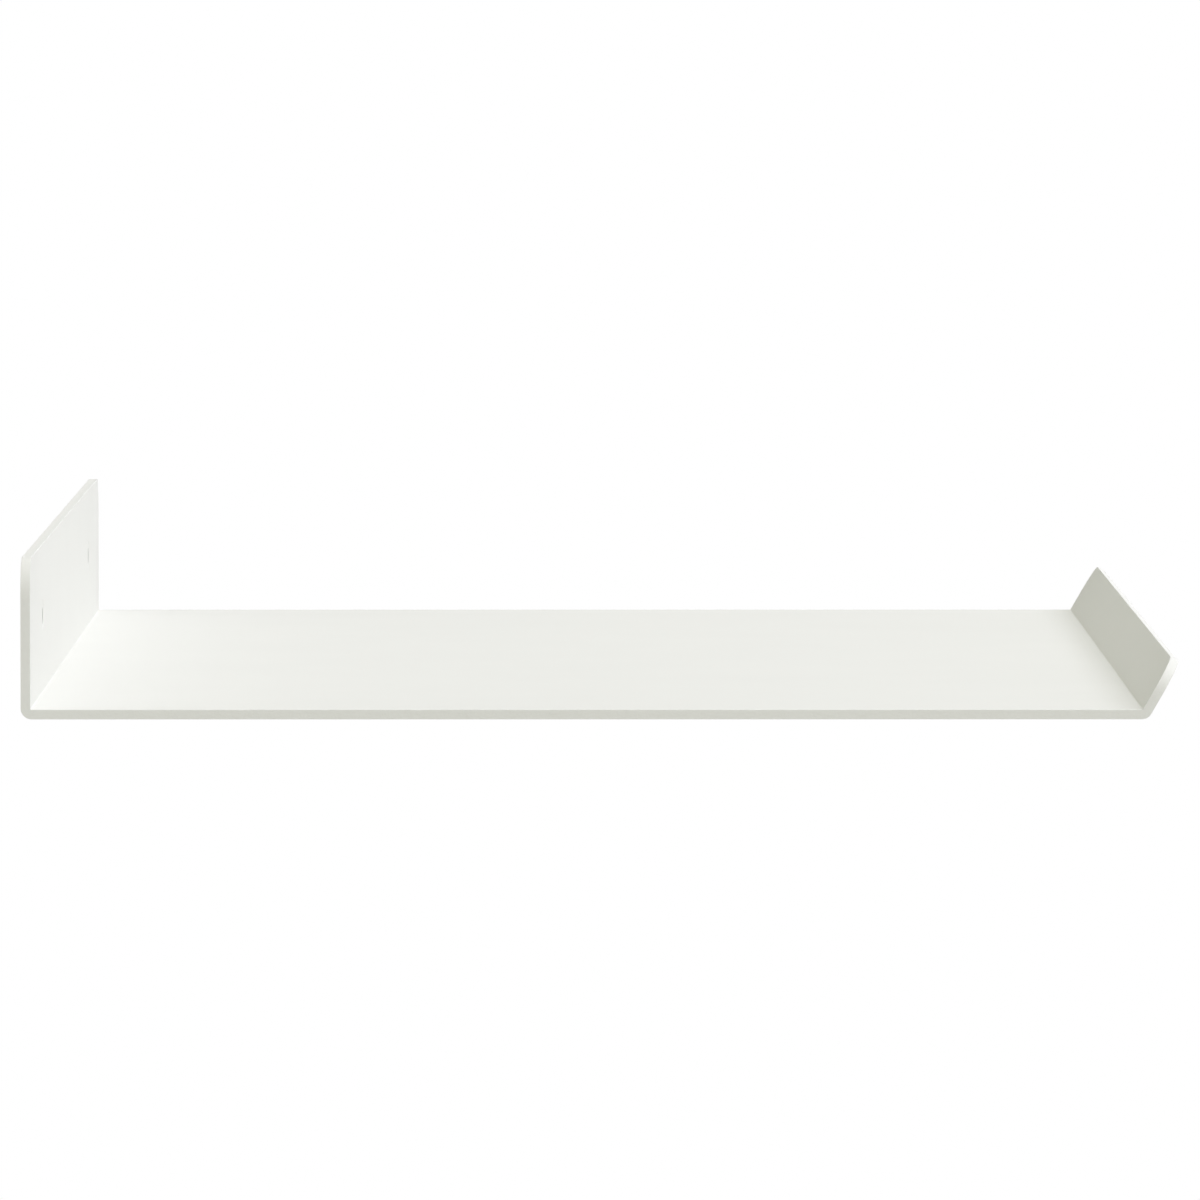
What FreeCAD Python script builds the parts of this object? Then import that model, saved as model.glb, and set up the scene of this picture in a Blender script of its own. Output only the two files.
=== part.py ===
import FreeCAD, Part
import math
import os

# Floating wall shelf: one steel sheet folded twice, held to the wall by two screws in plugs.
#
# +X points out of the wall, +Y runs along the wall, +Z is up.
# The origin is on the wall, halfway between the two fixing holes.
# Left is -Y and right is +Y, as seen by someone who faces the wall.

# Driving dimensions in millimetres, angles in degrees.

# Steel sheet
SHEET = 3.0
BEND_RADIUS = 0.4  # inside each fold
CORNER_RADIUS = 12.5  # free corners of the wall flange and of the lip
EDGE_EASE = 0.1  # bevel that breaks the cut edges before coating

# Folded shape, measured on its outside
LENGTH = 600.0  # along the wall
DEPTH = 350.0  # wall to the corner where the underside and the lip would meet
FLANGE_HEIGHT = 50.0  # underside to the top edge of the wall flange
LIP_WIDTH = 20.0  # that same corner to the free edge of the lip
LIP_ANGLE = 60.0  # rise of the lip above the shelf surface

# Fixing holes
HOLE_SPACING = 400.0
HOLE_DROP = 23.0  # top edge of the wall flange to the hole centres
HOLE_CLEARANCE = 0.5  # hole diameter over screw diameter

# Countersunk wood screws
SCREW_DIAMETER = 5.0  # over the thread
SCREW_LENGTH = 50.0  # with the head
SCREW_SHANK = 3.6  # plain stretch under the head
SHANK_LENGTH = 16.0  # head included
TIP_LENGTH = 6.0
HEAD_DIAMETER = 9.7
HEAD_ANGLE = 90.0
HEAD_RIM = 0.2  # straight band round the head
HEAD_SINK = 0.1  # head below the face of the flange
RECESS_SPAN = 5.0  # six-lobe recess, from lobe end to lobe end
RECESS_WAIST = 3.6  # across the hollows between the lobes
RECESS_DEPTH = 2.0
LOBES = 6
LOBE_SHARE = 0.46  # part of the turn that the lobes take, against the hollows

# Wall plugs
PLUG_DIAMETER = 8.0
PLUG_LENGTH = 40.0
PLUG_SET_IN = 2.5  # plug mouth below the wall face, behind the plaster
PLUG_CLEARANCE = 0.1  # bore diameter over screw diameter
PLUG_NECK = 8.0  # closed ring at the mouth
PLUG_NOSE = 4.0  # closed ring at the far end
PLUG_SLOT = 1.0
TOOTH_PITCH = 7.0
TOOTH_LAND = 1.0
TOOTH_DEPTH = 0.5

# Worked out from the above
TOP = HOLE_DROP
UNDERSIDE = TOP - FLANGE_HEIGHT
HALF_LENGTH = LENGTH / 2
LIP_RISE = math.radians(LIP_ANGLE)
HEAD_SLOPE = math.tan(math.radians(HEAD_ANGLE / 2))
HOLE_DIAMETER = SCREW_DIAMETER + HOLE_CLEARANCE
HEAD_TOP = SHEET - HEAD_SINK
SMALL = 1e-6


def on_section(x, z):
    """A point of the shelf's section, which lies across its left end."""
    return FreeCAD.Vector(x, -HALF_LENGTH, z)


def outside_corners():
    """Corners of the sheet's outer side, from the top of the wall flange to the lip's edge."""
    fold = on_section(DEPTH, UNDERSIDE)
    lip_direction = FreeCAD.Vector(math.cos(LIP_RISE), 0, math.sin(LIP_RISE))
    return [
        on_section(0, TOP),
        on_section(0, UNDERSIDE),
        fold,
        fold + lip_direction * LIP_WIDTH,
    ]


def inside_corners():
    """Corners of the sheet's inner side, one sheet thickness away and in the same order."""
    outside = outside_corners()
    lip_normal = FreeCAD.Vector(-math.sin(LIP_RISE), 0, math.cos(LIP_RISE))
    fold_setback = SHEET * math.tan(LIP_RISE / 2)
    return [
        outside[0] + FreeCAD.Vector(SHEET, 0, 0),
        outside[1] + FreeCAD.Vector(SHEET, 0, SHEET),
        outside[2] + FreeCAD.Vector(-fold_setback, 0, SHEET),
        outside[3] + lip_normal * SHEET,
    ]


def rounded_path(corners, radius):
    """Straight edges through the corners, with an arc of this radius at each one between the ends."""
    edges = []
    start = corners[0]
    for before, corner, after in zip(corners, corners[1:], corners[2:]):
        back = (before - corner).normalize()
        onward = (after - corner).normalize()
        half_angle = back.getAngle(onward) / 2
        setback = radius / math.tan(half_angle)
        bisector = (back + onward).normalize()
        to_arc = radius / math.sin(half_angle) - radius
        arc_start = corner + back * setback
        arc_end = corner + onward * setback
        edges.append(Part.LineSegment(start, arc_start).toShape())
        edges.append(Part.Arc(arc_start, corner + bisector * to_arc, arc_end).toShape())
        start = arc_end
    edges.append(Part.LineSegment(start, corners[-1]).toShape())
    return edges


def folded_sheet():
    """The sheet with its two folds, square at its free corners."""
    outside = outside_corners()
    inside = inside_corners()
    outer_side = rounded_path(outside, BEND_RADIUS + SHEET)
    inner_side = rounded_path(inside, BEND_RADIUS)
    flange_edge = Part.LineSegment(outside[0], inside[0]).toShape()
    lip_edge = Part.LineSegment(outside[-1], inside[-1]).toShape()
    loop = Part.__sortEdges__(outer_side + inner_side + [flange_edge, lip_edge])
    section = Part.Face(Part.Wire(loop))
    return section.extrude(FreeCAD.Vector(0, LENGTH, 0))


def free_corner_edges(sheet):
    """The four short edges through the sheet at the free corners of the flange and the lip."""
    ends = ((outside_corners()[0], inside_corners()[0]), (outside_corners()[-1], inside_corners()[-1]))
    found = []
    for outer, inner in ends:
        middle = (outer + inner) * 0.5
        for y in (-HALF_LENGTH, HALF_LENGTH):
            place = FreeCAD.Vector(middle.x, y, middle.z)
            found += [e for e in sheet.Edges if e.CenterOfMass.isEqual(place, SMALL)]
    return found


def sharp_edges(solid):
    """Edges where two faces meet at an angle, and not smoothly."""
    found = []
    for edge in solid.Edges:
        middle = edge.valueAt((edge.FirstParameter + edge.LastParameter) / 2)
        normals = []
        for face in solid.ancestorsOfType(edge, Part.Face):
            u, v = face.Surface.parameter(middle)
            normals.append(face.normalAt(u, v))
        if len(normals) == 2 and normals[0].getAngle(normals[1]) > math.radians(20):
            found.append(edge)
    return found


def turned(outline, y):
    """A solid of revolution about the line of a fixing hole, from (x, radius) points."""
    points = [FreeCAD.Vector(x, y, radius) for x, radius in outline]
    section = Part.Face(Part.makePolygon(points + points[:1]))
    return section.revolve(FreeCAD.Vector(0, y, 0), FreeCAD.Vector(1, 0, 0), 360)


def hole_tool(y):
    """What the drill and the countersink take out of the wall flange."""
    radius = HOLE_DIAMETER / 2
    seat = HEAD_TOP - HEAD_RIM
    mouth_radius = HEAD_DIAMETER / 2 + (SHEET - seat) * HEAD_SLOPE
    cone_foot = SHEET - (mouth_radius - radius) / HEAD_SLOPE
    beyond = SHEET
    outline = [
        (-beyond, 0),
        (-beyond, radius),
        (cone_foot, radius),
        (SHEET, mouth_radius),
        (SHEET + beyond, mouth_radius),
        (SHEET + beyond, 0),
    ]
    return turned(outline, y)


def shelf_panel():
    sheet = folded_sheet()
    sheet = sheet.makeFillet(CORNER_RADIUS, free_corner_edges(sheet))
    sheet = sheet.makeChamfer(EDGE_EASE, sharp_edges(sheet))
    for y in hole_places():
        sheet = sheet.cut(hole_tool(y))
    return sheet


def six_lobe_recess(y):
    """What the driver's recess takes out of the head: round lobes with hollow flanks between them."""
    floor = HEAD_TOP - RECESS_DEPTH
    turn = 2 * math.pi / LOBES
    half_lobe = turn * LOBE_SHARE / 2
    flank = (RECESS_SPAN + RECESS_WAIST) / 4

    def rim(radius, angle):
        return FreeCAD.Vector(floor, y + radius * math.sin(angle), radius * math.cos(angle))

    edges = []
    for lobe in range(LOBES):
        middle = lobe * turn
        lobe_start = rim(flank, middle - half_lobe)
        lobe_end = rim(flank, middle + half_lobe)
        next_start = rim(flank, middle + turn - half_lobe)
        edges.append(Part.Arc(lobe_start, rim(RECESS_SPAN / 2, middle), lobe_end).toShape())
        edges.append(Part.Arc(lobe_end, rim(RECESS_WAIST / 2, middle + turn / 2), next_start).toShape())
    section = Part.Face(Part.Wire(edges))
    return section.extrude(FreeCAD.Vector(RECESS_DEPTH + HEAD_RIM, 0, 0))


def wall_screw(y):
    head_radius = HEAD_DIAMETER / 2
    shank_radius = SCREW_SHANK / 2
    thread_radius = SCREW_DIAMETER / 2
    cone_top = HEAD_TOP - HEAD_RIM
    cone_foot = cone_top - (head_radius - shank_radius) / HEAD_SLOPE
    thread_start = HEAD_TOP - SHANK_LENGTH
    tip = HEAD_TOP - SCREW_LENGTH
    outline = [
        (HEAD_TOP, 0),
        (HEAD_TOP, head_radius),
        (cone_top, head_radius),
        (cone_foot, shank_radius),
        (thread_start, shank_radius),
        (thread_start - (thread_radius - shank_radius), thread_radius),
        (tip + TIP_LENGTH, thread_radius),
        (tip, 0),
    ]
    return turned(outline, y).cut(six_lobe_recess(y))


def wall_plug(y):
    bore = (SCREW_DIAMETER + PLUG_CLEARANCE) / 2
    crest = PLUG_DIAMETER / 2
    root = crest - TOOTH_DEPTH
    mouth = -PLUG_SET_IN
    neck_end = mouth - PLUG_NECK
    nose_start = mouth - PLUG_LENGTH + PLUG_NOSE
    far_end = mouth - PLUG_LENGTH
    outline = [(mouth, bore), (mouth, crest), (neck_end, crest)]
    tooth_count = int((neck_end - nose_start) / TOOTH_PITCH + SMALL)
    for tooth in range(1, tooth_count + 1):
        barb = neck_end - tooth * TOOTH_PITCH
        outline += [(barb + TOOTH_LAND, root), (barb + TOOTH_LAND, crest), (barb, crest)]
    outline += [(far_end, root), (far_end, bore)]
    plug = turned(outline, y)
    slot_length = neck_end - nose_start
    for wide, tall in ((PLUG_SLOT, PLUG_DIAMETER), (PLUG_DIAMETER, PLUG_SLOT)):
        corner = FreeCAD.Vector(nose_start, y - wide / 2, -tall / 2)
        plug = plug.cut(Part.makeBox(slot_length, wide, tall, corner))
    return plug


def hole_places():
    return (-HOLE_SPACING / 2, HOLE_SPACING / 2)


def main():
    os.makedirs("parts", exist_ok=True)
    pieces = {"shelf_panel": shelf_panel()}
    for side, y in zip(("left", "right"), hole_places()):
        pieces["wall_screw_" + side] = wall_screw(y)
        pieces["wall_plug_" + side] = wall_plug(y)
    for node, shape in pieces.items():
        shape.exportStep("parts/" + node + ".step")


main()
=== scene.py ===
import math

import bpy
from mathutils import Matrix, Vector


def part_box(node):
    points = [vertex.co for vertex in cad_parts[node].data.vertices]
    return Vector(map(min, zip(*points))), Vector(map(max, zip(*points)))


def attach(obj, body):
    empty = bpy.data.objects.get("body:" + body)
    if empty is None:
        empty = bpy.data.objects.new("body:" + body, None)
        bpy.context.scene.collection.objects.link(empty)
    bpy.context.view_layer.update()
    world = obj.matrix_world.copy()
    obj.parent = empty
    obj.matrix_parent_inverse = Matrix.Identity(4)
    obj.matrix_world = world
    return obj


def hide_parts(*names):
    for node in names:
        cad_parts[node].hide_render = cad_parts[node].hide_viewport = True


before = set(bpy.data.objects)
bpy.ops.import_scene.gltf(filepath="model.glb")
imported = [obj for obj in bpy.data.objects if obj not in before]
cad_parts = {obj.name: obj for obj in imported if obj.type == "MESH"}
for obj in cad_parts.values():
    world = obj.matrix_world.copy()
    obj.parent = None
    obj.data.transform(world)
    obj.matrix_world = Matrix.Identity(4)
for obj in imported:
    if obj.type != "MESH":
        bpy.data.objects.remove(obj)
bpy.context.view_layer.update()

bl_info = {
    "name": "Folded Wall Shelf",
    "version": (1, 0, 0),
    "blender": (4, 5, 0),
    "location": "3D View > Sidebar > Shelf",
    "description": (
        "Finishes a folded steel wall shelf, its screws and its plugs, "
        "and sets them in a white studio"
    ),
    "category": "Object",
}

# Measures are in metres in the shelf's own frame: +X out of the wall, +Y along it, +Z up.
MM = 0.001
PANEL = "shelf_panel"
SCREWS = ("wall_screw_left", "wall_screw_right")
PLUGS = ("wall_plug_left", "wall_plug_right")

# Wall screw
HEAD_RIM = 0.2 * MM
SHANK_LENGTH = 16 * MM  # with the head
SHANK_RADIUS = 1.8 * MM
THREAD_RADIUS = 2.5 * MM
TIP_LENGTH = 6 * MM
TIP_TAPER = 0.94  # share of the radius that is gone at the very point
BLEND = 0.5 * MM  # reach of the round between head and shank, and of the step to the core
BLEND_MIDDLE_DROP = 0.2  # middle of that round past the cone's foot, in blends
BLEND_MIDDLE_RISE = 0.25  # middle of that round outside the shank, in blends
HEAD_EDGE_ROUND = 0.02 * MM
SCREW_SIDES = 48
SMOOTH_ANGLE = math.radians(32)

# Thread's ridge
RIDGE_SINK = 0.25 * MM  # foot of the ridge below the core's surface
RIDGE_CREST_WIDTH = 0.12 * MM
RIDGE_START_GAP = 1 * MM  # from the end of the plain shank
RIDGE_END_GAP = 0.8 * MM  # from the point
RIDGE_STEPS = 32  # to a turn

# Driver's recess in the head
LOBES = 6
RECESS_SPAN = 5.0 * MM
RECESS_WAIST = 3.6 * MM
RECESS_DEPTH = 2.0 * MM
RECESS_EDGE_ROUND = 0.12 * MM
RECESS_SIDES = 72
HOLLOW_RADIUS = 0.85 * MM  # of the hollows between the lobes
HOLLOW_SIDES = 32
CUTTER_RISE = 0.5 * MM  # how far the cutter stands out of the head
LEAD_IN_RADIUS = 2.75 * MM
LEAD_IN_DEPTH = 0.25 * MM

# Fine skin
DRIFT_SCALE = 18.0  # slow drifts to a metre
DRIFT_DETAIL = 3.0
DRIFT_LOW = 0.3  # nearly all of the noise lies between this and the next
DRIFT_HIGH = 0.7
DRIFT_MIDDLE = 0.5
DIMPLE_DETAIL = 2.0
DIMPLE_ROUGHNESS = 0.4
COAT_SPECULAR = 0.25
NYLON_SCATTER = 0.15
NYLON_SCATTER_DEPTH = 1.0 * MM

# Paint on the screw's head, and painted shade darkening its lead-in and recess
PAINT_START = 0.08 * MM  # the paint begins this far below the lead-in's floor
PAINT_FULL = 0.02 * MM  # and covers the zinc from here up
LEAD_IN_MARGIN = 0.01 * MM
RECESS_MARGIN = 0.1 * MM
RECESS_SHADE_ZINC = 0.4  # share of the zinc's brightness left in the recess by the painted shade
# share of the paint's brightness left on the lead-in's walls by the painted shade
RECESS_SHADE_PAINT = 0.72

# Studio
STAGE_SIZE = 60
FLOOR_TONE = 0.86
FLOOR_LIFT = 0.27  # glow that brings the floor up to white for the camera
FLOOR_RADIUS = 1.6  # from here out the floor is plain white to the camera
FLOOR_FADE_START = 0.6  # share of that radius
WALL_SIDE_TINT = (1, 1, 0.78, 1)
ROOM_SIDE_TINT = (1, 1, 1.07, 1)
DAYLIGHT = (0.935, 0.93, 1.0)
LAMP_SIZE = 3.0
FRONT_LAMP_PLACE = (3.2, 0.0, 3.8)
TOP_LAMP_PLACE = (1.2, 0.0, 4.8)

# Camera
CAMERA_X = 170.8 * MM
CAMERA_DISTANCE = 4126 * MM  # from the shelf's left end
CAMERA_Z = 221 * MM
TARGET_X = 179.8 * MM
TARGET_Z = 10.1 * MM
SENSOR_WIDTH = 36  # these two in millimetres
FOCAL_LENGTH = 399.5
CLIP_START = 0.1
CLIP_END = 200


# ---------------------------------------------------------------------------
# Settings
# ---------------------------------------------------------------------------


class CoatSettings(bpy.types.PropertyGroup):
    colour: bpy.props.FloatVectorProperty(
        name="Colour",
        description="Colour of the powder coat",
        subtype="COLOR",
        size=3,
        min=0.0,
        max=1.0,
        default=(0.855, 0.86, 0.82),
    )
    roughness: bpy.props.FloatProperty(
        name="Roughness",
        description="Satin finish of the powder coat, from gloss at 0 to matt at 1",
        min=0.0,
        max=1.0,
        default=0.72,
        subtype="FACTOR",
    )
    peel_size: bpy.props.FloatProperty(
        name="Peel Size",
        description="Width of one dimple of the sprayed skin",
        min=0.1 * MM,
        max=10 * MM,
        default=0.7 * MM,
        unit="LENGTH",
    )
    peel_height: bpy.props.FloatProperty(
        name="Peel Height",
        description="Height of the dimples",
        min=0.0,
        max=0.2 * MM,
        default=0.05 * MM,
        unit="LENGTH",
        precision=6,
    )


class FixingSettings(bpy.types.PropertyGroup):
    metal: bpy.props.FloatVectorProperty(
        name="Zinc",
        description="Colour of the plated screw",
        subtype="COLOR",
        size=3,
        min=0.0,
        max=1.0,
        default=(0.72, 0.72, 0.7),
    )
    nylon: bpy.props.FloatVectorProperty(
        name="Nylon",
        description="Colour of the moulded plug",
        subtype="COLOR",
        size=3,
        min=0.0,
        max=1.0,
        default=(0.55, 0.56, 0.57),
    )
    thread_pitch: bpy.props.FloatProperty(
        name="Thread Pitch",
        description="Advance of the thread in one turn",
        min=0.5 * MM,
        max=6 * MM,
        default=2.5 * MM,
        unit="LENGTH",
    )
    thread_width: bpy.props.FloatProperty(
        name="Thread Width",
        description="Width of the thread's ridge at its foot",
        min=0.2 * MM,
        max=2 * MM,
        default=0.8 * MM,
        unit="LENGTH",
    )
    core_diameter: bpy.props.FloatProperty(
        name="Core Diameter",
        description="Diameter of the screw under its thread",
        min=1 * MM,
        max=4.5 * MM,
        default=3.3 * MM,
        unit="LENGTH",
    )


class StageSettings(bpy.types.PropertyGroup):
    floor_drop: bpy.props.FloatProperty(
        name="Floor Drop",
        description="Height of the shelf's underside above the floor",
        min=0.05,
        max=3.0,
        default=0.9,
        unit="LENGTH",
    )
    ambient: bpy.props.FloatProperty(
        name="Ambient",
        description="Mean brightness of the soft light from all round",
        min=0.0,
        max=2.0,
        default=0.422,
    )
    lean: bpy.props.FloatVectorProperty(
        name="Lean",
        description="How much the soft light gains towards the room, the right end and the ceiling",
        subtype="XYZ",
        size=3,
        min=-1.0,
        max=1.0,
        default=(0.18, -0.36, 0.21),
    )
    front_power: bpy.props.FloatProperty(
        name="Front Lamp Power",
        description="Power of the large soft lamp above the room",
        min=0.0,
        max=500.0,
        default=114.0,
        unit="POWER",
    )
    top_power: bpy.props.FloatProperty(
        name="Top Lamp Power",
        description="Power of the large soft lamp high above the shelf",
        min=0.0,
        max=500.0,
        default=28.0,
        unit="POWER",
    )


# ---------------------------------------------------------------------------
# Helpers for modelling
# ---------------------------------------------------------------------------


def deselect_all():
    if bpy.context.object and bpy.context.object.mode != "OBJECT":
        bpy.ops.object.mode_set(mode="OBJECT")
    bpy.ops.object.select_all(action="DESELECT")


def make_active(piece):
    deselect_all()
    piece.select_set(True)
    bpy.context.view_layer.objects.active = piece


def select_where(piece, test):
    """Leaves the piece in edit mode with the vertices selected for which test(position) is true."""
    make_active(piece)
    bpy.ops.object.mode_set(mode="EDIT")
    bpy.ops.mesh.select_mode(type="VERT")
    bpy.ops.mesh.select_all(action="DESELECT")
    bpy.ops.object.mode_set(mode="OBJECT")
    for vertex in piece.data.vertices:
        vertex.select = test(vertex.co)
    bpy.ops.object.mode_set(mode="EDIT")


def apply_modifier(piece, kind, **values):
    make_active(piece)
    modifier = piece.modifiers.new(kind.title(), kind)
    for name, value in values.items():
        setattr(modifier, name, value)
    bpy.ops.object.modifier_apply(modifier=modifier.name)


def settle(piece):
    """Moves a piece's place, turn and scale into its mesh, so that its object stands at the origin."""
    make_active(piece)
    bpy.ops.object.transform_apply(location=True, rotation=True, scale=True)


def dress(piece, material):
    piece.data.materials.clear()
    piece.data.materials.append(material)


# ---------------------------------------------------------------------------
# Helpers for materials
# ---------------------------------------------------------------------------


def add_node(tree, kind, label, place, **values):
    node = tree.nodes.new(kind)
    node.label = label
    node.location = place
    for name, value in values.items():
        setattr(node, name, value)
    return node


def new_group(name, inputs, outputs):
    """An empty shader node group.

    Its inputs are (name, socket type, default) and its outputs (name, socket type).
    """
    group = bpy.data.node_groups.new(name, "ShaderNodeTree")
    for label, kind, default in inputs:
        socket = group.interface.new_socket(label, in_out="INPUT", socket_type=kind)
        socket.default_value = default
    for label, kind in outputs:
        group.interface.new_socket(label, in_out="OUTPUT", socket_type=kind)
    return group


def skin_group():
    """Fine surface of a sprayed, plated or moulded skin: dimples, and slow drifts of tone and sheen."""
    name = "Fine Skin"
    if name in bpy.data.node_groups:
        return bpy.data.node_groups[name]
    group = new_group(
        name,
        [
            ("Colour", "NodeSocketColor", (0.8, 0.8, 0.8, 1)),
            ("Tone Drift", "NodeSocketFloat", 0.01),
            ("Roughness", "NodeSocketFloat", 0.5),
            ("Sheen Drift", "NodeSocketFloat", 0.04),
            ("Dimple Size", "NodeSocketFloat", 1.0 * MM),
            ("Dimple Height", "NodeSocketFloat", 0.01 * MM),
        ],
        [("Colour", "NodeSocketColor"), ("Roughness", "NodeSocketFloat"), ("Normal", "NodeSocketVector")],
    )
    links = group.links
    given = add_node(group, "NodeGroupInput", "Given", (-1100, 0))
    out = add_node(group, "NodeGroupOutput", "Out", (700, 0))
    place = add_node(group, "ShaderNodeTexCoord", "Place on the Piece", (-1100, -300))

    drift = add_node(group, "ShaderNodeTexNoise", "Slow Drift", (-700, 250))
    drift.inputs["Scale"].default_value = DRIFT_SCALE
    drift.inputs["Detail"].default_value = DRIFT_DETAIL
    links.new(place.outputs["Object"], drift.inputs["Vector"])

    tone = add_node(group, "ShaderNodeMapRange", "Tone Range", (-450, 350))
    less = add_node(group, "ShaderNodeMath", "Darkest", (-700, 500), operation="SUBTRACT")
    less.inputs[0].default_value = 1.0
    links.new(given.outputs["Tone Drift"], less.inputs[1])
    links.new(drift.outputs["Fac"], tone.inputs["Value"])
    tone.inputs["From Min"].default_value = DRIFT_LOW
    tone.inputs["From Max"].default_value = DRIFT_HIGH
    links.new(less.outputs[0], tone.inputs["To Min"])
    tone.inputs["To Max"].default_value = 1.0
    shade = add_node(group, "ShaderNodeVectorMath", "Shaded Colour", (-150, 350), operation="SCALE")
    links.new(given.outputs["Colour"], shade.inputs[0])
    links.new(tone.outputs[0], shade.inputs["Scale"])
    links.new(shade.outputs[0], out.inputs["Colour"])

    swing = add_node(group, "ShaderNodeMath", "Centred Drift", (-450, 100), operation="SUBTRACT")
    links.new(drift.outputs["Fac"], swing.inputs[0])
    swing.inputs[1].default_value = DRIFT_MIDDLE
    sheen = add_node(group, "ShaderNodeMath", "Sheen", (-150, 100), operation="MULTIPLY_ADD")
    links.new(swing.outputs[0], sheen.inputs[0])
    links.new(given.outputs["Sheen Drift"], sheen.inputs[1])
    links.new(given.outputs["Roughness"], sheen.inputs[2])
    links.new(sheen.outputs[0], out.inputs["Roughness"])

    count = add_node(group, "ShaderNodeMath", "Dimples per Metre", (-700, -200), operation="DIVIDE")
    count.inputs[0].default_value = 1.0
    links.new(given.outputs["Dimple Size"], count.inputs[1])
    dimples = add_node(group, "ShaderNodeTexNoise", "Dimples", (-450, -250))
    dimples.inputs["Detail"].default_value = DIMPLE_DETAIL
    dimples.inputs["Roughness"].default_value = DIMPLE_ROUGHNESS
    links.new(place.outputs["Object"], dimples.inputs["Vector"])
    links.new(count.outputs[0], dimples.inputs["Scale"])
    bump = add_node(group, "ShaderNodeBump", "Dimple Relief", (-150, -250))
    bump.inputs["Strength"].default_value = 1.0
    links.new(given.outputs["Dimple Height"], bump.inputs["Distance"])
    links.new(dimples.outputs["Fac"], bump.inputs["Height"])
    links.new(bump.outputs["Normal"], out.inputs["Normal"])
    return group


def skinned_material(name, skin):
    """A material whose colour, roughness and normal come from the fine skin with these values."""
    material = bpy.data.materials.new(name)
    material.use_nodes = True
    tree = material.node_tree
    shader = tree.nodes["Principled BSDF"]
    group = add_node(tree, "ShaderNodeGroup", "Fine Skin", (-350, 200), node_tree=skin_group())
    for label, value in skin.items():
        group.inputs[label].default_value = value
    tree.links.new(group.outputs["Colour"], shader.inputs["Base Color"])
    tree.links.new(group.outputs["Roughness"], shader.inputs["Roughness"])
    tree.links.new(group.outputs["Normal"], shader.inputs["Normal"])
    return material


def coat_material(coat):
    material = skinned_material(
        "Powder Coat",
        {
            "Colour": (*coat.colour, 1),
            "Tone Drift": 0.012,
            "Roughness": coat.roughness,
            "Sheen Drift": 0.06,
            "Dimple Size": coat.peel_size,
            "Dimple Height": coat.peel_height,
        },
    )
    shader = material.node_tree.nodes["Principled BSDF"]
    shader.inputs["Specular IOR Level"].default_value = COAT_SPECULAR
    return material


def nylon_material(fixing):
    material = skinned_material(
        "Moulded Nylon",
        {
            "Colour": (*fixing.nylon, 1),
            "Tone Drift": 0.05,
            "Roughness": 0.48,
            "Sheen Drift": 0.1,
            "Dimple Size": 0.5 * MM,
            "Dimple Height": 0.01 * MM,
        },
    )
    shader = material.node_tree.nodes["Principled BSDF"]
    shader.inputs["Subsurface Weight"].default_value = NYLON_SCATTER
    shader.inputs["Subsurface Scale"].default_value = NYLON_SCATTER_DEPTH
    return material


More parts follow.
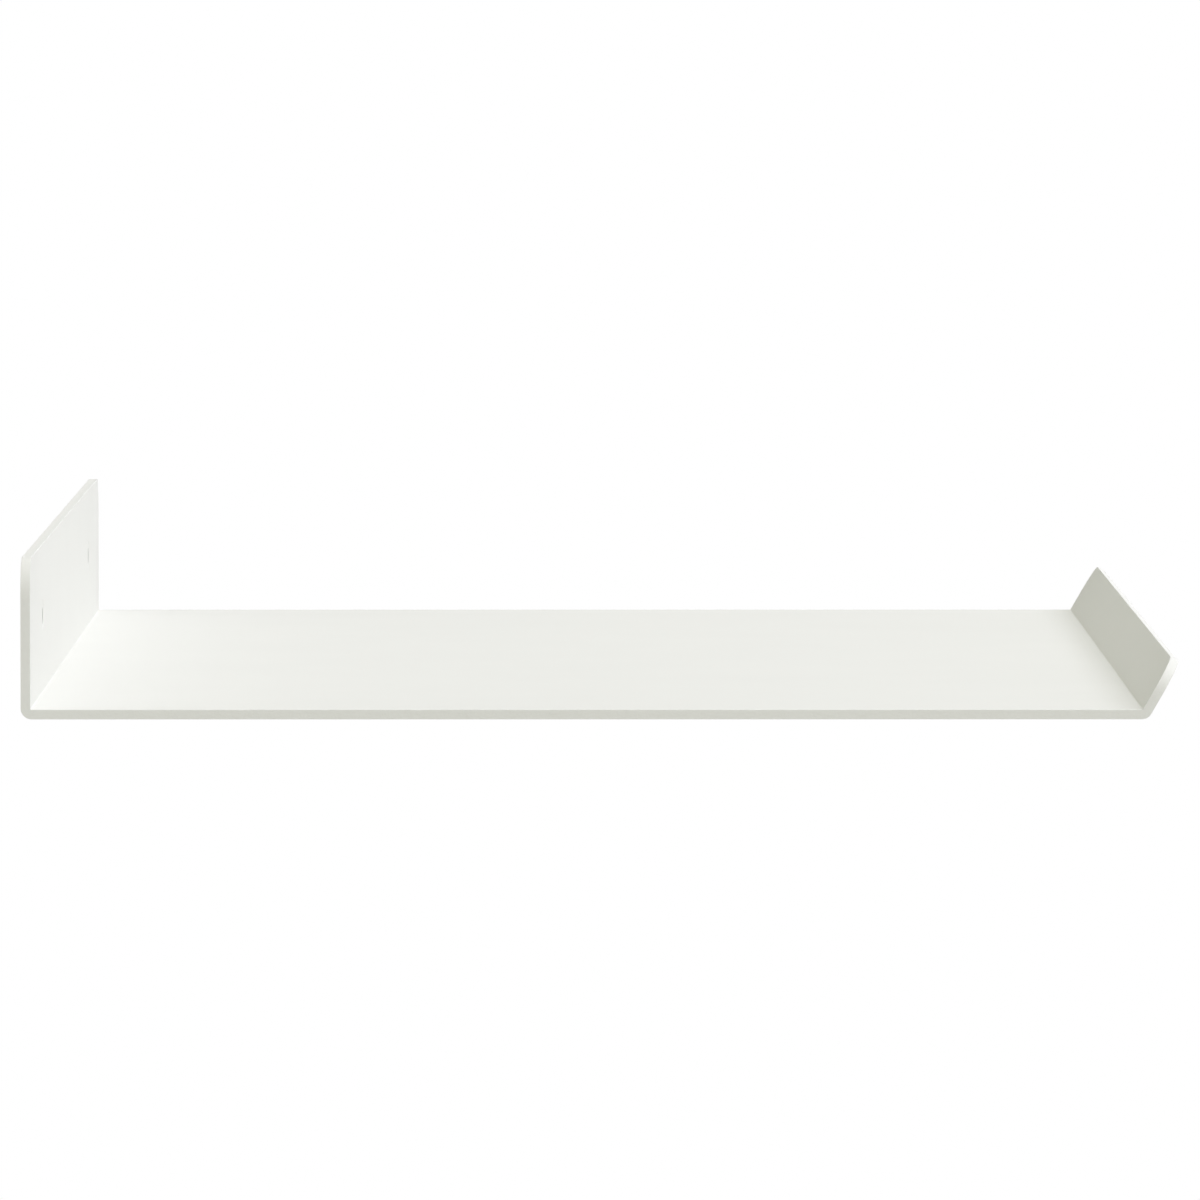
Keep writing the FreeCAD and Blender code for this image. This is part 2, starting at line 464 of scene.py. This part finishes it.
def screw_material(fixing, coat, face_x, axis_y):
    """Zinc plate with the coat's colour over the head's face and lead-in, darkened inside the lead-in and
    recess as painted shade.

    The face lies at face_x. The screws' axes lie at axis_y and -axis_y.
    """
    material = skinned_material(
        "Painted Zinc Screw",
        {
            "Colour": (*fixing.metal, 1),
            "Tone Drift": 0.12,
            "Roughness": 0.34,
            "Sheen Drift": 0.25,
            "Dimple Size": 0.35 * MM,
            "Dimple Height": 0.004 * MM,
        },
    )
    tree = material.node_tree
    links = tree.links
    shader = tree.nodes["Principled BSDF"]
    skin = next(node for node in tree.nodes if node.label == "Fine Skin")

    place = add_node(tree, "ShaderNodeTexCoord", "Place on the Screw", (-1200, -200))
    axes = add_node(tree, "ShaderNodeSeparateXYZ", "Along the Screw", (-1000, -200))
    links.new(place.outputs["Object"], axes.inputs[0])
    paint = add_node(tree, "ShaderNodeMapRange", "Paint Edge", (-600, -100))
    links.new(axes.outputs["X"], paint.inputs["Value"])
    paint.inputs["From Min"].default_value = face_x - LEAD_IN_DEPTH - PAINT_START
    paint.inputs["From Max"].default_value = face_x - LEAD_IN_DEPTH - PAINT_FULL

    side = add_node(tree, "ShaderNodeMath", "Either Screw", (-800, -450), operation="ABSOLUTE")
    links.new(axes.outputs["Y"], side.inputs[0])
    aside = add_node(tree, "ShaderNodeMath", "Beside the Axis", (-600, -450), operation="SUBTRACT")
    links.new(side.outputs[0], aside.inputs[0])
    aside.inputs[1].default_value = axis_y
    across = add_node(tree, "ShaderNodeCombineXYZ", "Across the Axis", (-400, -450))
    links.new(aside.outputs[0], across.inputs["Y"])
    links.new(axes.outputs["Z"], across.inputs["Z"])
    radius = add_node(tree, "ShaderNodeVectorMath", "Radius", (-200, -450), operation="LENGTH")
    links.new(across.outputs[0], radius.inputs[0])
    within = add_node(tree, "ShaderNodeMath", "Within the Lead-in", (0, -450), operation="LESS_THAN")
    links.new(radius.outputs["Value"], within.inputs[0])
    within.inputs[1].default_value = LEAD_IN_RADIUS + LEAD_IN_MARGIN
    inside = add_node(tree, "ShaderNodeMath", "In the Head", (0, -650), operation="GREATER_THAN")
    links.new(axes.outputs["X"], inside.inputs[0])
    inside.inputs[1].default_value = face_x - RECESS_DEPTH - RECESS_MARGIN
    recess = add_node(tree, "ShaderNodeMath", "Recess", (200, -550), operation="MULTIPLY")
    links.new(within.outputs[0], recess.inputs[0])
    links.new(inside.outputs[0], recess.inputs[1])
    # Painted shade: inside the lead-in and the recess the colour is darkened, bare zinc more than paint, to
    # stand for the shade that falls there.
    recess_shade = add_node(tree, "ShaderNodeMix", "Painted Shade on Zinc or Paint", (0, -250))
    links.new(paint.outputs[0], recess_shade.inputs["Factor"])
    recess_shade.inputs["A"].default_value = RECESS_SHADE_ZINC
    recess_shade.inputs["B"].default_value = RECESS_SHADE_PAINT
    tone = add_node(tree, "ShaderNodeMix", "Painted Shade in the Recess", (400, -350))
    links.new(recess.outputs[0], tone.inputs["Factor"])
    tone.inputs["A"].default_value = 1.0
    links.new(recess_shade.outputs["Result"], tone.inputs["B"])

    coated = add_node(tree, "ShaderNodeMix", "Paint over Zinc", (-100, 300), data_type="RGBA")
    links.new(paint.outputs[0], coated.inputs["Factor"])
    links.new(skin.outputs["Colour"], coated.inputs["A"])
    coated.inputs["B"].default_value = (*coat.colour, 1)
    colour = add_node(tree, "ShaderNodeVectorMath", "Colour with Painted Shade", (600, -100), operation="SCALE")
    links.new(coated.outputs["Result"], colour.inputs[0])
    links.new(tone.outputs["Result"], colour.inputs["Scale"])
    links.new(colour.outputs[0], shader.inputs["Base Color"])

    metal = add_node(tree, "ShaderNodeMath", "Bare Zinc", (-100, 50), operation="SUBTRACT")
    metal.inputs[0].default_value = 1.0
    links.new(paint.outputs[0], metal.inputs[1])
    links.new(metal.outputs[0], shader.inputs["Metallic"])
    return material


# ---------------------------------------------------------------------------
# Wall screws
# ---------------------------------------------------------------------------


def draw_out(stations):
    """Extrudes the selected ring along X through (x, radius) stations, starting from the first one."""
    for (x, radius), (next_x, next_radius) in zip(stations, stations[1:]):
        bpy.ops.mesh.extrude_region_move(TRANSFORM_OT_translate={"value": (next_x - x, 0, 0)})
        factor = next_radius / radius
        bpy.ops.transform.resize(value=(1, factor, factor), center_override=(next_x, 0, 0))


def screw_body(head_radius, shank_radius, core_radius, head_x, thread_x, tip_x):
    """Head, shank, core and point of a countersunk screw, along X with the start of its point at 0.

    The point is left as wide as the core.
    """
    bpy.ops.mesh.primitive_circle_add(
        vertices=SCREW_SIDES,
        radius=head_radius,
        fill_type="NGON",
        location=(head_x, 0, 0),
        rotation=(0, math.pi / 2, 0),
    )
    body = bpy.context.object
    settle(body)
    select_where(body, lambda place: True)
    cone_foot = head_x - HEAD_RIM - (head_radius - shank_radius)
    draw_out(
        [
            (head_x, head_radius),
            (head_x - HEAD_RIM, head_radius),
            (cone_foot + BLEND, shank_radius + BLEND),
            (cone_foot - BLEND_MIDDLE_DROP * BLEND, shank_radius + BLEND_MIDDLE_RISE * BLEND),
            (cone_foot - BLEND, shank_radius),
            (thread_x, shank_radius),
            (thread_x - BLEND, core_radius),
            (0, core_radius),
            (tip_x / 2, core_radius),
            (tip_x, core_radius),
        ]
    )
    bpy.ops.object.mode_set(mode="OBJECT")
    return body


def round_bar(radius, sides, low_x, high_x, place):
    """A round bar along X, with its axis at place in Y and Z."""
    bpy.ops.mesh.primitive_cylinder_add(
        vertices=sides,
        radius=radius,
        depth=high_x - low_x,
        location=((low_x + high_x) / 2, *place),
        rotation=(0, math.pi / 2, 0),
    )
    bar = bpy.context.object
    settle(bar)
    return bar


def cut_away(piece, cutter):
    apply_modifier(piece, "BOOLEAN", operation="DIFFERENCE", object=cutter, solver="EXACT")
    bpy.data.objects.remove(cutter)


def ease_edges(piece, width, segments, sharpest):
    """Rounds the edges of the piece that turn by more than this angle."""
    apply_modifier(
        piece,
        "BEVEL",
        width=width,
        segments=segments,
        limit_method="ANGLE",
        angle_limit=sharpest,
    )


def lobe_cutter(head_x):
    """The shape of a six-lobe driver: a round bar with six hollows down its sides."""
    floor_x = head_x - RECESS_DEPTH
    cutter = round_bar(RECESS_SPAN / 2, RECESS_SIDES, floor_x, head_x + CUTTER_RISE, (0, 0))
    for lobe in range(LOBES):
        angle = 2 * math.pi * (lobe + 0.5) / LOBES
        reach = RECESS_WAIST / 2 + HOLLOW_RADIUS
        place = (reach * math.sin(angle), reach * math.cos(angle))
        low_x = floor_x - CUTTER_RISE
        high_x = head_x + 2 * CUTTER_RISE
        cut_away(cutter, round_bar(HOLLOW_RADIUS, HOLLOW_SIDES, low_x, high_x, place))
    ease_edges(cutter, RECESS_EDGE_ROUND, segments=3, sharpest=math.radians(40))
    return cutter


def thread_ridge(core_radius, crest_radius, width, pitch, start_x, end_x):
    """The thread's ridge, wound round the core in whole turns from end_x towards start_x."""
    inside = core_radius - RIDGE_SINK
    middle = (inside + crest_radius) / 2
    bpy.ops.mesh.primitive_plane_add(size=1, location=(end_x, 0, middle), rotation=(math.pi / 2, 0, 0))
    ridge = bpy.context.object
    ridge.scale = (width, crest_radius - inside, 1)
    settle(ridge)
    select_where(ridge, lambda place: place.z > middle)
    bpy.ops.transform.resize(
        value=(RIDGE_CREST_WIDTH / width, 1, 1),
        center_override=(end_x, 0, crest_radius),
    )
    bpy.ops.object.mode_set(mode="OBJECT")
    turns = int((start_x - end_x) / pitch)
    apply_modifier(
        ridge,
        "SCREW",
        axis="X",
        angle=2 * math.pi,
        screw_offset=pitch,
        iterations=turns,
        steps=RIDGE_STEPS,
        render_steps=RIDGE_STEPS,
        use_merge_vertices=False,
    )
    select_where(ridge, lambda place: False)
    bpy.ops.mesh.select_mode(type="EDGE")
    bpy.ops.mesh.select_non_manifold()
    bpy.ops.mesh.edge_face_add()
    bpy.ops.mesh.select_all(action="SELECT")
    bpy.ops.mesh.normals_make_consistent(inside=False)
    bpy.ops.object.mode_set(mode="OBJECT")
    return ridge


def wall_screw(node, fixing, material):
    low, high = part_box(node)
    axis_y = (low.y + high.y) / 2
    head_radius = (high.y - low.y) / 2
    tip_start = low.x + TIP_LENGTH
    head_x = high.x - tip_start
    tip_x = -TIP_LENGTH
    thread_x = head_x - SHANK_LENGTH
    core_radius = fixing.core_diameter / 2
    deselect_all()
    body = screw_body(head_radius, SHANK_RADIUS, core_radius, head_x, thread_x, tip_x)
    cut_away(body, lobe_cutter(head_x))
    lead_in_floor = head_x - LEAD_IN_DEPTH
    cut_away(body, round_bar(LEAD_IN_RADIUS, RECESS_SIDES, lead_in_floor, head_x + LEAD_IN_DEPTH, (0, 0)))
    ease_edges(body, HEAD_EDGE_ROUND, segments=2, sharpest=math.radians(35))
    ridge = thread_ridge(
        core_radius,
        THREAD_RADIUS,
        fixing.thread_width,
        fixing.thread_pitch,
        thread_x - RIDGE_START_GAP,
        tip_x + RIDGE_END_GAP,
    )
    deselect_all()
    ridge.select_set(True)
    body.select_set(True)
    bpy.context.view_layer.objects.active = body
    bpy.ops.object.join()
    length = head_x - tip_x
    apply_modifier(
        body,
        "SIMPLE_DEFORM",
        deform_method="TAPER",
        deform_axis="X",
        factor=TIP_TAPER,
        limits=(0, TIP_LENGTH / length),
    )
    make_active(body)
    bpy.ops.object.shade_smooth_by_angle(angle=SMOOTH_ANGLE)
    body.location = (tip_start, axis_y, 0)
    settle(body)
    body.name = node + "_threaded"
    body.data.name = body.name
    dress(body, material)
    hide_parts(node)
    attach(body, "root")


# ---------------------------------------------------------------------------
# Stage
# ---------------------------------------------------------------------------


def empty_material(name):
    """A material with no nodes in it, and its node tree."""
    material = bpy.data.materials.new(name)
    material.use_nodes = True
    tree = material.node_tree
    tree.nodes.clear()
    return material, tree


def floor_material(clear_radius):
    """White and shaded under the shelf, plain white to the camera further out, and clear from below."""
    material, tree = empty_material("Studio Floor")
    links = tree.links
    out = add_node(tree, "ShaderNodeOutputMaterial", "Out", (900, 0))
    pale = add_node(tree, "ShaderNodeBsdfDiffuse", "Pale Floor", (-200, 500))
    pale.inputs["Color"].default_value = (FLOOR_TONE, FLOOR_TONE, FLOOR_TONE, 1)
    white = add_node(tree, "ShaderNodeEmission", "White", (0, -50))
    clear = add_node(tree, "ShaderNodeBsdfTransparent", "Clear", (400, -150))
    path = add_node(tree, "ShaderNodeLightPath", "Ray", (-600, 300))
    lift = add_node(tree, "ShaderNodeMath", "Lift to White", (-400, 350), operation="MULTIPLY")
    links.new(path.outputs["Is Camera Ray"], lift.inputs[0])
    lift.inputs[1].default_value = FLOOR_LIFT
    glow = add_node(tree, "ShaderNodeEmission", "Lifted", (-200, 350))
    links.new(lift.outputs[0], glow.inputs["Strength"])
    plain = add_node(tree, "ShaderNodeAddShader", "Shaded Floor", (0, 400))
    links.new(pale.outputs[0], plain.inputs[0])
    links.new(glow.outputs[0], plain.inputs[1])
    side = add_node(tree, "ShaderNodeNewGeometry", "Side", (-600, -300))
    place = add_node(tree, "ShaderNodeTexCoord", "Place", (-900, 0))
    reach = add_node(tree, "ShaderNodeVectorMath", "Distance", (-700, 0), operation="LENGTH")
    links.new(place.outputs["Object"], reach.inputs[0])
    fade = add_node(tree, "ShaderNodeMapRange", "Fade to White", (-450, 0), interpolation_type="SMOOTHSTEP")
    links.new(reach.outputs["Value"], fade.inputs["Value"])
    fade.inputs["From Min"].default_value = FLOOR_FADE_START * clear_radius
    fade.inputs["From Max"].default_value = clear_radius
    seen = add_node(tree, "ShaderNodeMath", "Seen and Far", (-200, 200), operation="MULTIPLY")
    links.new(fade.outputs[0], seen.inputs[0])
    links.new(path.outputs["Is Camera Ray"], seen.inputs[1])
    front = add_node(tree, "ShaderNodeMixShader", "Floor from Above", (250, 50))
    links.new(seen.outputs[0], front.inputs["Fac"])
    links.new(plain.outputs[0], front.inputs[1])
    links.new(white.outputs[0], front.inputs[2])
    whole = add_node(tree, "ShaderNodeMixShader", "Either Side", (650, 0))
    links.new(side.outputs["Backfacing"], whole.inputs["Fac"])
    links.new(front.outputs[0], whole.inputs[1])
    links.new(clear.outputs[0], whole.inputs[2])
    links.new(whole.outputs[0], out.inputs["Surface"])
    return material


def wall_material():
    """Plain white to a camera in the room, and clear to everything else."""
    material, tree = empty_material("Studio Wall")
    links = tree.links
    out = add_node(tree, "ShaderNodeOutputMaterial", "Out", (600, 0))
    white = add_node(tree, "ShaderNodeEmission", "White", (0, -100))
    clear = add_node(tree, "ShaderNodeBsdfTransparent", "Clear", (0, 100))
    path = add_node(tree, "ShaderNodeLightPath", "Ray", (-600, 200))
    side = add_node(tree, "ShaderNodeNewGeometry", "Side", (-600, -200))
    room = add_node(tree, "ShaderNodeMath", "Room Side", (-400, -200), operation="SUBTRACT")
    room.inputs[0].default_value = 1.0
    links.new(side.outputs["Backfacing"], room.inputs[1])
    seen = add_node(tree, "ShaderNodeMath", "Seen from the Room", (-200, 0), operation="MULTIPLY")
    links.new(path.outputs["Is Camera Ray"], seen.inputs[0])
    links.new(room.outputs[0], seen.inputs[1])
    mix = add_node(tree, "ShaderNodeMixShader", "Wall", (300, 0))
    links.new(seen.outputs[0], mix.inputs["Fac"])
    links.new(clear.outputs[0], mix.inputs[1])
    links.new(white.outputs[0], mix.inputs[2])
    links.new(mix.outputs[0], out.inputs["Surface"])
    return material


def stage_plane(name, size, place, turn, material):
    bpy.ops.mesh.primitive_plane_add(size=size, location=place, rotation=turn)
    plane = bpy.context.object
    plane.name = name
    dress(plane, material)


def white_world(ambient, lean):
    """White to the camera and in reflections, and a soft light that leans one way on everything else."""
    world = bpy.data.worlds.new("Studio World")
    bpy.context.scene.world = world
    world.use_nodes = True
    tree = world.node_tree
    tree.nodes.clear()
    links = tree.links
    out = add_node(tree, "ShaderNodeOutputWorld", "Out", (800, 0))
    seen = add_node(tree, "ShaderNodeBackground", "White", (300, -150))
    seen.inputs["Color"].default_value = (1, 1, 1, 1)
    light = add_node(tree, "ShaderNodeBackground", "Soft Light", (300, 150))
    place = add_node(tree, "ShaderNodeTexCoord", "Direction", (-900, 300))

    gain = add_node(tree, "ShaderNodeVectorMath", "Lean", (-500, 500), operation="DOT_PRODUCT")
    links.new(place.outputs["Generated"], gain.inputs[0])
    gain.inputs[1].default_value = lean
    leaning = add_node(tree, "ShaderNodeMath", "Mean and Lean", (-250, 500), operation="ADD")
    leaning.inputs[0].default_value = ambient
    links.new(gain.outputs["Value"], leaning.inputs[1])
    strength = add_node(tree, "ShaderNodeMath", "Never Below Zero", (0, 500), operation="MAXIMUM")
    links.new(leaning.outputs[0], strength.inputs[0])
    strength.inputs[1].default_value = 0.0
    links.new(strength.outputs[0], light.inputs["Strength"])

    axes = add_node(tree, "ShaderNodeSeparateXYZ", "Axes", (-500, 250))
    links.new(place.outputs["Generated"], axes.inputs[0])
    room = add_node(tree, "ShaderNodeMapRange", "Room Side", (-250, 250))
    links.new(axes.outputs["X"], room.inputs["Value"])
    room.inputs["From Min"].default_value = -1.0
    tint = add_node(tree, "ShaderNodeMix", "Wall to Room", (0, 250), data_type="RGBA")
    links.new(room.outputs[0], tint.inputs["Factor"])
    tint.inputs["A"].default_value = WALL_SIDE_TINT
    tint.inputs["B"].default_value = ROOM_SIDE_TINT
    links.new(tint.outputs["Result"], light.inputs["Color"])

    path = add_node(tree, "ShaderNodeLightPath", "Ray", (-500, -50))
    gloss = add_node(tree, "ShaderNodeMath", "Camera or Gloss", (-250, -50), operation="MAXIMUM")
    links.new(path.outputs["Is Camera Ray"], gloss.inputs[0])
    links.new(path.outputs["Is Glossy Ray"], gloss.inputs[1])
    either = add_node(tree, "ShaderNodeMath", "or Transmission", (0, -50), operation="MAXIMUM")
    links.new(gloss.outputs[0], either.inputs[0])
    links.new(path.outputs["Is Transmission Ray"], either.inputs[1])
    mix = add_node(tree, "ShaderNodeMixShader", "World", (550, 0))
    links.new(either.outputs[0], mix.inputs["Fac"])
    links.new(light.outputs[0], mix.inputs[1])
    links.new(seen.outputs[0], mix.inputs[2])
    links.new(mix.outputs[0], out.inputs["Surface"])


def aim(thing, target):
    thing.rotation_euler = (Vector(target) - thing.location).to_track_quat("-Z", "Y").to_euler()


def soft_lamp(name, power, size, place, target, colour):
    bpy.ops.object.light_add(type="AREA", location=place)
    lamp = bpy.context.object
    lamp.name = name
    lamp.data.shape = "SQUARE"
    lamp.data.size = size
    lamp.data.energy = power
    lamp.data.color = colour
    lamp.visible_camera = False
    aim(lamp, target)


def studio_camera():
    """The camera stands well back from the shelf's left end and looks along it, a little down."""
    low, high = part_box(PANEL)
    end = low.y
    bpy.ops.object.camera_add(location=(CAMERA_X, end - CAMERA_DISTANCE, CAMERA_Z))
    camera = bpy.context.object
    camera.name = "Studio Camera"
    camera.data.sensor_width = SENSOR_WIDTH
    camera.data.lens = FOCAL_LENGTH
    camera.data.clip_start = CLIP_START
    camera.data.clip_end = CLIP_END
    aim(camera, (TARGET_X, end, TARGET_Z))
    bpy.context.scene.camera = camera


# ---------------------------------------------------------------------------
# Operators
# ---------------------------------------------------------------------------


class SHELF_OT_coat_panel(bpy.types.Operator):
    """Gives the folded panel its powder coat"""

    bl_idname = "shelf.coat_panel"
    bl_label = "Coat Panel"

    def execute(self, context):
        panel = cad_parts[PANEL]
        dress(panel, coat_material(context.scene.shelf_coat))
        return {"FINISHED"}


class SHELF_OT_model_screws(bpy.types.Operator):
    """Models both wall screws with their threads and six-lobe recesses"""

    bl_idname = "shelf.model_screws"
    bl_label = "Model Screws"

    def execute(self, context):
        fixing = context.scene.shelf_fixing
        low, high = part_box(SCREWS[1])
        material = screw_material(fixing, context.scene.shelf_coat, high.x, (low.y + high.y) / 2)
        for node in SCREWS:
            wall_screw(node, fixing, material)
        return {"FINISHED"}


class SHELF_OT_finish_plugs(bpy.types.Operator):
    """Gives both wall plugs their moulded nylon"""

    bl_idname = "shelf.finish_plugs"
    bl_label = "Finish Plugs"

    def execute(self, context):
        material = nylon_material(context.scene.shelf_fixing)
        for node in PLUGS:
            dress(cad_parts[node], material)
        return {"FINISHED"}


class SHELF_OT_set_stage(bpy.types.Operator):
    """Sets up the white studio, its lamps and the camera"""

    bl_idname = "shelf.set_stage"
    bl_label = "Set Stage"

    def execute(self, context):
        settings = context.scene.shelf_stage
        low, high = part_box(PANEL)
        middle = (low + high) / 2
        floor_z = low.z - settings.floor_drop
        wall_z = floor_z + STAGE_SIZE / 2
        floor = floor_material(FLOOR_RADIUS)
        deselect_all()
        stage_plane("studio_floor", STAGE_SIZE, (middle.x, 0, floor_z), (0, 0, 0), floor)
        stage_plane("studio_wall", STAGE_SIZE, (0, 0, wall_z), (0, math.pi / 2, 0), wall_material())
        white_world(settings.ambient, settings.lean)
        soft_lamp("Front Lamp", settings.front_power, LAMP_SIZE, FRONT_LAMP_PLACE, middle, DAYLIGHT)
        soft_lamp("Top Lamp", settings.top_power, LAMP_SIZE, TOP_LAMP_PLACE, middle, DAYLIGHT)
        studio_camera()
        context.scene.view_settings.view_transform = "Standard"
        return {"FINISHED"}


class SHELF_PT_sidebar(bpy.types.Panel):
    bl_idname = "SHELF_PT_sidebar"
    bl_label = "Wall Shelf"
    bl_space_type = "VIEW_3D"
    bl_region_type = "UI"
    bl_category = "Shelf"

    def draw(self, context):
        layout = self.layout
        scene = context.scene
        for settings, names, operators in (
            (scene.shelf_coat, ("colour", "roughness", "peel_size", "peel_height"), ("shelf.coat_panel",)),
            (
                scene.shelf_fixing,
                ("metal", "nylon", "thread_pitch", "thread_width", "core_diameter"),
                ("shelf.model_screws", "shelf.finish_plugs"),
            ),
            (
                scene.shelf_stage,
                ("floor_drop", "ambient", "lean", "front_power", "top_power"),
                ("shelf.set_stage",),
            ),
        ):
            box = layout.box()
            for name in names:
                box.prop(settings, name)
            for operator in operators:
                box.operator(operator)


GROUPS = {"shelf_coat": CoatSettings, "shelf_fixing": FixingSettings, "shelf_stage": StageSettings}
CLASSES = (
    *GROUPS.values(),
    SHELF_OT_coat_panel,
    SHELF_OT_model_screws,
    SHELF_OT_finish_plugs,
    SHELF_OT_set_stage,
    SHELF_PT_sidebar,
)


def register():
    for cls in CLASSES:
        bpy.utils.register_class(cls)
    for name, group in GROUPS.items():
        setattr(bpy.types.Scene, name, bpy.props.PointerProperty(type=group))


def unregister():
    for name in GROUPS:
        delattr(bpy.types.Scene, name)
    for cls in reversed(CLASSES):
        bpy.utils.unregister_class(cls)


def main():
    register()
    bpy.ops.shelf.coat_panel()
    bpy.ops.shelf.model_screws()
    bpy.ops.shelf.finish_plugs()
    bpy.ops.shelf.set_stage()


if __name__ == "__main__":
    main()
